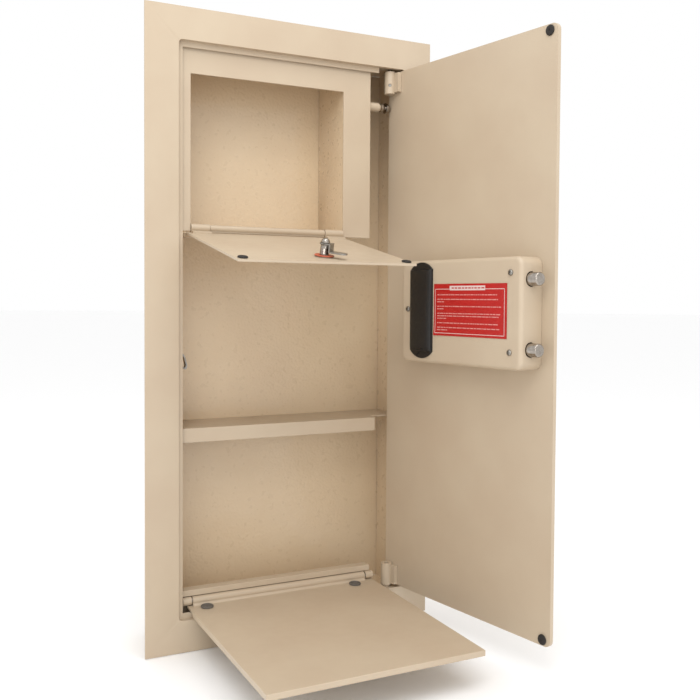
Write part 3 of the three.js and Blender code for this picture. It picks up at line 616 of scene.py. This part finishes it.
def battery_cover():
    """A lid crowned from side to side, which thins out to a snap tab at its lower end."""
    left, right, back, front, bottom, top = extent("battery_cover", DOOR)
    half = (right - left) / 2
    centre = (left + right) / 2
    tall, crown = top - bottom, front - back
    edge, fall, steps = 0.2, 0.28, 24

    def section(z, height):
        """The lid's outline across, at one height up the lid, with its crown this high."""
        ring = []
        for i in range(steps + 1):
            x = centre + half * math.cos(math.pi * i / steps)
            share = abs(x - centre) / half
            rise = (height - edge) * (1 - share ** 6) ** 0.5 * (1 - fall * share ** 2)
            ring.append((x, back + edge + rise, z))
        return ring + [(centre - half, back, z), (centre + half, back, z)]

    levels = [(0, 0.45), (0.004, 0.62), (0.035, 0.66), (0.05, 0.98), (0.06, 1), (0.5, 1), (0.985, 1),
              (0.995, 0.9), (1, 0.6)]
    rings = [section(bottom + tall * share, crown * height) for share, height in levels]
    instead_of("battery_cover", lofted(rings), DOOR)

    tab_half, tab_bottom, tab_top = 7, bottom + 0.6, bottom + 3.4
    corner, shrink, soft = 1.3, 0.9, 0.6

    def tab_outline(inset):
        return round_rectangle(centre - tab_half + inset, centre + tab_half - inset,
                               tab_bottom + inset, tab_top - inset, corner - inset * shrink, steps=6)

    tab = slab(tab_outline, back + 1, back + 2.9, soft)
    piece("battery_cover_tab", tab, "battery_cover", DOOR)


def cell(r, start, end):
    """An AA cell about Z: its wrap, and its bare positive end with the nub."""
    shoulder = end - 1.5
    wrap = turned([(0, start), (r - 0.8, start), (r - 0.2, start + 0.1), (r, start + 0.5),
                   (r, shoulder - 0.4), (r - 0.2, shoulder), (r - 1.4, shoulder + 0.2),
                   (r - 1.4, shoulder), (0, shoulder)])
    nub = turned([(0, shoulder - 0.1), (r - 1.5, shoulder - 0.1), (r - 1.5, shoulder + 0.05),
                  (2.7, shoulder + 0.1), (2.6, end - 0.3), (2.3, end), (0, end)], segments=32)
    return wrap, nub


def batteries():
    """Two cells in line in each column."""
    for node in ("battery_column_1", "battery_column_2"):
        left, right, _, _, bottom, top = extent(node, DOOR)
        x, y, _ = middle(node, DOOR)
        r, long = (right - left) / 2, (top - bottom) / 2
        wraps, nubs = zip(*(cell(r, start, start + long) for start in (0, long)))
        place = facing(DOOR, "z", (x, y, bottom))
        instead_of(node, gathered(wraps), place)
        terminals = piece(node + "_terminals", gathered(nubs), node, place, MATERIALS["zinc"])


# ----------------------------------------------------------------------- label

# The label's place on the door, the grid it bends along, and the thickness of its film and ink.
LABEL_LEFT, LABEL_RIGHT, LABEL_BACK, _, LABEL_BOTTOM, LABEL_TOP = extent("label", DOOR)
LABEL_WIDE, LABEL_TALL = LABEL_RIGHT - LABEL_LEFT, LABEL_TOP - LABEL_BOTTOM
LABEL_COLUMNS, LABEL_ROWS = 32, 16
FILM_THICK, INK_THICK = 0.25, 0.03
LABEL_SURFACE = LABEL_BACK + FILM_THICK


def lifted(u, v):
    """How far the label stands off, in millimetres: its lower left corner, as it is read, is loose."""
    wide, tall, flat, curl = 0.2, 0.3, 0.05, 1.1
    loose = max(0.0, (u - (1 - wide)) / wide + (tall - v) / tall - 1)
    return flat + curl * loose ** 2


def film(left, right, bottom, top, back, thick, columns, rows):
    """A thin sheet that follows the label's surface."""
    mesh = bmesh.new()
    grid = []
    for i in range(columns + 1):
        x = left + (right - left) * i / columns
        line = []
        for j in range(rows + 1):
            z = bottom + (top - bottom) * j / rows
            y = back + lifted((x - LABEL_LEFT) / LABEL_WIDE, (z - LABEL_BOTTOM) / LABEL_TALL)
            line.append([mesh.verts.new(Vector((x, y + lift, z)) * MM) for lift in (0, thick)])
        grid.append(line)
    for i in range(columns):
        for j in range(rows):
            corners = (grid[i][j], grid[i + 1][j], grid[i + 1][j + 1], grid[i][j + 1])
            for side in (0, 1):
                mesh.faces.new([corner[side] for corner in corners])
    rim = [(i, 0) for i in range(columns)] + [(columns, j) for j in range(rows)]
    rim += [(columns - i, rows) for i in range(columns)] + [(0, rows - j) for j in range(rows)]
    for (a, b), (c, d) in zip(rim, rim[1:] + rim[:1]):
        mesh.faces.new((grid[a][b][0], grid[c][d][0], grid[c][d][1], grid[a][b][1]))
    bmesh.ops.recalc_face_normals(mesh, faces=mesh.faces)
    return mesh


def bar(x0, x1, z0, z1, base=LABEL_SURFACE):
    """A printed bar, given as shares of the label from its left and bottom edges as they are read."""
    columns = max(1, round((x1 - x0) * LABEL_COLUMNS))
    rows = max(1, round((z1 - z0) * LABEL_ROWS))
    return film(LABEL_RIGHT - x1 * LABEL_WIDE, LABEL_RIGHT - x0 * LABEL_WIDE,
                LABEL_BOTTOM + z0 * LABEL_TALL, LABEL_BOTTOM + z1 * LABEL_TALL,
                base, INK_THICK, columns, rows)


def label_sheet():
    """The red film of the label."""
    sheet = film(LABEL_LEFT, LABEL_RIGHT, LABEL_BOTTOM, LABEL_TOP, LABEL_BACK, FILM_THICK,
                 LABEL_COLUMNS, LABEL_ROWS)
    instead_of("label", sheet, DOOR)


def label_border():
    """A border all round, and a solid bar in its upper edge for the title."""
    line, left, right, bottom, top = 0.011, 0.018, 0.972, 0.045, 0.905
    title_left, title_right, title_bottom, title_top = 0.23, 0.72, 0.875, 0.962
    parts = [bar(title_left, title_right, title_bottom, title_top),
             bar(left, title_left, top - line, top),
             bar(title_right, right, top - line, top),
             bar(left, right, bottom, bottom + line),
             bar(left, left + line / 2, bottom, top),
             bar(right - line / 2, right, bottom, top)]
    piece("label_border", gathered(parts), "label", DOOR, BOLD_INK)


def label_title(chance):
    """Red marks in place of the title's words."""
    x, end, space, bottom, top = 0.26, 0.67, 0.012, 0.907, 0.93
    marks = []
    while x < end:
        word = chance.uniform(0.02, 0.045)
        marks.append(bar(x, x + word, bottom, top, LABEL_SURFACE + INK_THICK))
        x += word + space
    piece("label_title", gathered(marks), "label", DOOR)


def label_lines(chance):
    """Paragraphs of bars in place of the words. A paragraph's last line is short."""
    left, space, pitch, gap, height, level = 0.05, 0.007, 0.0485, 0.0385, 0.019, 0.80
    words = []
    for lines in (1, 2, 2, 3, 1, 2):
        for i in range(lines):
            last = i == lines - 1 and lines > 1
            end = chance.uniform(0.12, 0.22) if last else chance.uniform(0.86, 0.92)
            x = left
            while x < end:
                word = min(chance.uniform(0.012, 0.062), end - x + 0.01)
                words.append(bar(x, x + word, level - height, level))
                x += word + space
            level -= pitch
        level -= gap
    piece("label_lines", gathered(words), "label", DOOR, FINE_INK)


def label():
    """The red label, with its print reduced to plain bars."""
    chance = random.Random(11)
    label_sheet()
    label_border()
    label_title(chance)
    label_lines(chance)


# ---------------------------------------------------------------- small fittings

def bumpers():
    """Rubber bumpers with a soft edge and a small dimple in the middle."""
    for node, place in (("bumper_top", DOOR), ("bumper_bottom", DOOR),
                        ("upper_flap_pad_left", UPPER_FLAP), ("upper_flap_pad_right", UPPER_FLAP)):
        left, right, back, front, _, _ = extent(node, place)
        x, _, z = middle(node, place)
        r, thick = (right - left) / 2, front - back
        profile = [(0, 0), (r - 0.3, 0), (r, 0.3), (r, thick - 1.1), (r - 0.4, thick - 0.5),
                   (r - 1.3, thick - 0.15), (r - 2.8, thick), (1.6, thick), (1.3, thick - 0.1),
                   (1.1, thick - 0.6), (0, thick - 0.7)]
        instead_of(node, turned(profile), facing(place, "y", (x, back, z)))


def flap_discs():
    """Grey discs on the lower flap, each with a raised rim round a dished middle."""
    for node in ("lower_flap_disc_1", "lower_flap_disc_2"):
        left, right, back, front, _, _ = extent(node, LOWER_FLAP)
        x, _, z = middle(node, LOWER_FLAP)
        r, thick = (right - left) / 2, front - back
        profile = [(0, 0), (r - 0.4, 0), (r, 0.4), (r, thick - 1), (r - 0.4, thick - 0.3), (r - 1.2, thick),
                   (r - 2.2, thick), (r - 2.8, thick - 0.3), (r - 3.2, thick - 0.9), (1.8, thick - 1.1),
                   (1.4, thick - 0.7), (0, thick - 0.55)]
        instead_of(node, turned(profile, segments=56), facing(LOWER_FLAP, "y", (x, back, z)))


def grub_screw():
    """A cup-point screw with a hexagon socket, at an angle in the upper barrel."""
    node = "grub_screw"
    data = NODES[node].data
    axis = Vector(JOINTS["door_hinge"]["pos_m"])
    centre = sum((vertex.co for vertex in data.vertices), Vector()) / len(data.vertices)
    out = Vector((centre.x - axis.x, centre.y - axis.y, 0)).normalized()
    reach = [(vertex.co - centre).dot(out) / MM for vertex in data.vertices]
    inner, outer = min(reach), max(reach)
    r, socket_r, socket_deep = 2, 1.15, 1.8
    profile = [(0, inner + 0.5), (r - 0.8, inner), (r - 0.5, inner), (r, inner + 0.5), (r, outer - 0.3),
               (r - 0.25, outer), (0, outer)]
    socket = hexagon(socket_r, outer - socket_deep, outer + BEYOND)
    place = Matrix.Translation(centre) @ out.to_track_quat("Z", "Y").to_matrix().to_4x4()
    instead_of(node, combined(turned(profile, segments=36), "DIFFERENCE", socket), place)


def threaded(r, low, high, pitch, depth):
    """The profile of a thread, drawn as rings."""
    root, crest = 0.1, 0.5
    points = []
    for i in range(int((high - low) / pitch)):
        points += [(r - depth, low + (i + root) * pitch), (r, low + (i + crest) * pitch)]
    return points


def stop_screw():
    """The door stop's screw: thread, jam nut, washer and polished dome head."""
    left, right, *_ = extent("stop_screw")
    _, y, z = middle("stop_screw")
    end = extent("stop_post")[1]
    length = right - left
    head = length - 8
    thread_r, washer_r, dome_r, nut_r, nut_turn = 3, 7.2, 6.3, 6.2, 0.3
    nut_start, nut_end = end + 0.3 - left, end + 4 - left
    thread = [(0, 0), (thread_r - 0.6, 0)] + threaded(thread_r, 0.4, head - 0.6, pitch=0.8, depth=0.3)
    washer = [(thread_r, head - 0.5), (washer_r - 0.2, head - 0.5), (washer_r, head - 0.3),
              (washer_r, head + 0.6), (washer_r - 0.2, head + 0.8)]
    dome = [(dome_r - 0.1, head + 0.8)] + arc((0, head + 1.4), dome_r, 0, 84, steps=14)
    dome = [(r, min(height, length)) for r, height in dome]
    shank = turned(thread + washer + dome + [(0, length)])
    nut = moved(hexagon(nut_r, nut_start, nut_end, chamfer=0.5), Matrix.Rotation(nut_turn, 4, "Z"))
    instead_of("stop_screw", combined(shank, "UNION", nut), facing(SAFE, "x", (left, y, z)))


def curve(start, bend, end, steps):
    """Points along a curve that leaves one point and reaches another, drawn towards a third between them."""
    points = []
    for i in range(steps + 1):
        t = i / steps
        shares = ((1 - t) ** 2, 2 * t * (1 - t), t * t)
        point = [sum(share * at for share, at in zip(shares, along)) for along in zip(start, bend, end)]
        points.append(point)
    return points


def hinge_weld():
    """The weld along the lower flap's hinge tube, a hollow fillet between the tube and the panel."""
    left, right, _, _, bottom, top = extent("lower_hinge_tube", LOWER_FLAP)
    panel = extent("lower_flap_panel", LOWER_FLAP)[3]
    r = (top - bottom) / 2
    contact = math.radians(-24)
    short, proud, inner, reach = 0.1, 0.05, 0.5, 8
    tube_point = (r * math.cos(contact), r * math.sin(contact))
    bend = (tube_point[0] + 0.5, panel + 0.3)
    hollow = curve(tube_point, bend, (reach, panel + proud), steps=8)
    section = [(inner, panel + proud), (inner, 0.6 - r)] + hollow
    strip = lofted([[(x, y, z) for z, y in section] for x in (left + short, right - short)])
    piece("lower_hinge_weld", strip, "lower_hinge_tube", LOWER_FLAP)


# --------------------------------------------------------- the upper flap's lock

def washer(r, bore, low, high, soft):
    """A bmesh of a washer about Z, in millimetres, with softened outer edges."""
    edge = [(r - soft, low), (r, low + soft), (r, high - soft), (r - soft, high)]
    disc = turned([(0, low)] + edge + [(0, high)], segments=56)
    return combined(disc, "DIFFERENCE", rod(bore, low - BEYOND, high + BEYOND))


def cam_lock():
    """A turned barrel with its escutcheon, a red ring on a pale one, and a dome nut."""
    x, _, z = middle("cam_barrel", UPPER_FLAP)
    left, right, outer, tip, _, _ = extent("cam_barrel", UPPER_FLAP)
    _, _, ring_back, ring_front, _, _ = extent("cam_ring", UPPER_FLAP)
    _, _, nut_back, nut_front, _, _ = extent("cam_nut", UPPER_FLAP)
    place = facing(UPPER_FLAP, "y", (x, 0, z))

    rim, r, neck, stud, shoulder = (right - left) / 2, 5.5, 5.2, 2.4, 9
    barrel = [(0, outer + 0.3), (1.2, outer), (rim - 1, outer), (rim - 0.3, outer + 0.3), (rim, outer + 1.2),
              (r, outer + 1.2), (r, ring_front + 0.6)]
    barrel += threaded(r, ring_front + 0.8, shoulder - 2.6, pitch=1.1, depth=0.35)
    barrel += [(neck - 0.1, shoulder - 2.4), (neck, shoulder - 0.5), (neck - 0.4, shoulder),
               (stud, shoulder), (stud, tip), (0, tip)]
    key_thick, key_tall, key_deep = 0.8, 3.2, 3
    keyway = block(-key_thick, key_thick, -key_tall, key_tall, outer - BEYOND, outer + key_deep)
    instead_of("cam_barrel", combined(turned(barrel, segments=56), "DIFFERENCE", keyway), place)

    bore, split, apart = r + 0.3, (ring_back + ring_front) / 2, 0.05
    instead_of("cam_ring", washer(rim + 0.5, bore, split + apart, ring_front, soft=0.35), place)
    lower = washer(rim + 0.3, bore, ring_back, split - apart, soft=0.2)
    base = piece("cam_ring_base", lower, "cam_ring", place, MATERIALS["chrome"])

    flange = [(0, nut_back + 0.05), (5.3, nut_back + 0.05), (5.5, nut_back + 0.25), (5.5, nut_back + 0.9),
              (5.3, nut_back + 1.1)]
    spring, dome_r = nut_back + 1.2, 4.9
    dome = [(dome_r, spring)]
    for angle in range(8, 89, 8):
        turn = math.radians(angle)
        dome.append((dome_r * math.cos(turn), spring + (nut_front - spring) * math.sin(turn)))
    nut = turned(flange + dome + [(0, nut_front)], segments=56)
    hole = rod(stud + 0.3, 0, tip + 0.4, segments=32)
    instead_of("cam_nut", combined(nut, "DIFFERENCE", hole), place)


# ------------------------------------------------------------ the outer fittings

def knob():
    """A turn knob with a scalloped skirt and a raised grip."""
    left, right, outer, base, _, _ = extent("knob", DOOR)
    spindle = extent("knob_spindle", DOOR)[2]
    x, _, z = middle("knob", DOOR)
    r = (right - left) / 2
    face = outer + 6
    grip_half, inset, socket_r, socket_deep, soft = 3.4, 4, 4.3, 30, 0.5
    points_round, scallops = 96, 6

    def ring(radius, y, scallop=0.0):
        points = []
        for i in range(points_round):
            turn = math.tau * i / points_round
            reach = radius - scallop * abs(math.sin(scallops * turn))
            points.append((x + reach * math.cos(turn), y, z + reach * math.sin(turn)))
        return points

    skirt = lofted([ring(r, base), ring(r, base - 1.6), ring(r - 0.6, base - 2.4),
                    ring(r - 2, base - 3.4, 0.8), ring(r - 2.2, face + 2, 0.8),
                    ring(r - 2.8, face + 0.8, 0.6), ring(r - 4, face)])
    grip = block(x - grip_half, x + grip_half, outer, face + 1, z - r + inset, z + r - inset)
    socket = moved(rod(socket_r, 0, socket_deep, segments=32), facing(SAFE, "y", (x, spindle - 0.3, z)))
    mesh = combined(combined(skirt, "UNION", grip), "DIFFERENCE", socket)
    instead_of("knob", mesh, DOOR, radius=soft)


# The rounding of each node's edges, in millimetres.
ROUNDED = {
    0.9: ["front_frame"],
    0.7: ["compartment_face", "shelf", "sill_bracket", "upper_flap_panel", "door_panel"],
    0.8: ["lower_flap_panel", "compartment_box", "reader_housing", "reader_cover"],
    0.3: ["body_shell", "back_panel", "pivot_plate_top", "pivot_plate_bottom", "cam_arm", "reader_window"],
    0.5: ["door_barrel_top", "door_barrel_bottom", "lower_knuckle_left", "lower_knuckle_right"],
    0.4: ["upper_hinge_tube", "lower_hinge_tube", "stop_post", "key_cylinder", "lock_solenoid"],
    0.2: ["upper_hinge_pin", "lower_hinge_pin", "pivot_pin_top", "pivot_pin_bottom", "wall_clip",
          "knob_spindle", "hinge_washer_left", "hinge_washer_right", "bolt_bar", "bolt_guide", "key_plug",
          "circuit_board"],
}


def rounded_parts():
    """The other parts keep their CAD shapes, with rounded edges."""
    for radius, nodes in ROUNDED.items():
        for node in nodes:
            instead_of(node, cleaned(node), radius=radius, suffix="rounded")


def paint_cad():
    """A node that no piece stands for shows its CAD mesh in the same materials."""
    for node, part in NODES.items():
        part.data.materials.clear()
        part.data.materials.append(MATERIALS[SLOT_OF[node]])


lock_cover()
cover_screws()
bolts()
battery_holder()
battery_cover()
batteries()
label()
bumpers()
flap_discs()
grub_screw()
stop_screw()
hinge_weld()
cam_lock()
knob()
rounded_parts()
paint_cad()


# ---------------------------------------------------- camera, floor and lights

def camera():
    """The view that the safe is seen in: from the left, and a little above its middle."""
    place = (-0.4669, -1.0978, 0.0435)
    yaw, pitch, roll = (math.radians(angle) for angle in (27.12, 1.89, 0.38))
    data = bpy.data.cameras.new("camera")
    data.sensor_width = 36
    data.lens = 46.58
    data.shift_x = -0.0157
    data.shift_y = -0.0301
    data.clip_end = 100
    made = bpy.data.objects.new("camera", data)
    aim = Matrix.Rotation(-yaw, 4, "Z") @ Matrix.Rotation(math.pi / 2 - pitch, 4, "X")
    made.matrix_world = Matrix.Translation(place) @ aim @ Matrix.Rotation(roll, 4, "Z")
    bpy.context.scene.collection.objects.link(made)
    bpy.context.scene.camera = made


def floor():
    """A wide pale floor that the open safe stands on."""
    mesh = bmesh.new()
    bmesh.ops.create_circle(mesh, cap_ends=True, radius=30, segments=96)
    bmesh.ops.translate(mesh, verts=mesh.verts, vec=(0, 0, CAD_BOX[0][2] - MM))
    data = bpy.data.meshes.new("floor")
    mesh.to_mesh(data)
    mesh.free()
    made = bpy.data.objects.new("floor", data)
    bpy.context.scene.collection.objects.link(made)
    finish = Finish("floor", Base_Color=(0.97, 0.97, 0.97, 1), Roughness=0.9)
    data.materials.append(finish.material)


def area_light(name, place, target, size, power):
    """A soft white lamp, with its places and size in metres and its power in watts."""
    data = bpy.data.lights.new(name, "AREA")
    data.shape = "RECTANGLE"
    data.size, data.size_y = size
    data.energy = power
    made = bpy.data.objects.new(name, data)
    made.location = place
    made.rotation_euler = (Vector(target) - Vector(place)).to_track_quat("-Z", "Y").to_euler()
    bpy.context.scene.collection.objects.link(made)


def lights():
    """A white room, with lamps that model the front a little."""
    world = bpy.data.worlds.new("studio")
    bpy.context.scene.world = world
    world.use_nodes = True
    background = world.node_tree.nodes["Background"]
    background.inputs["Color"].default_value = (1, 1, 1, 1)
    background.inputs["Strength"].default_value = 1
    bpy.context.scene.view_settings.view_transform = "Standard"
    area_light("key", (-0.75, -1.15, 1.1), (0, 0, 0.1), (0.7, 0.7), 7)
    area_light("overhead", (0, -0.9, 1.7), (0, -0.05, 0), (1.6, 0.9), 11)
    area_light("front", (-0.55, -2.3, 0.3), (0, 0, 0), (0.9, 0.9), 4)


camera()
floor()
lights()
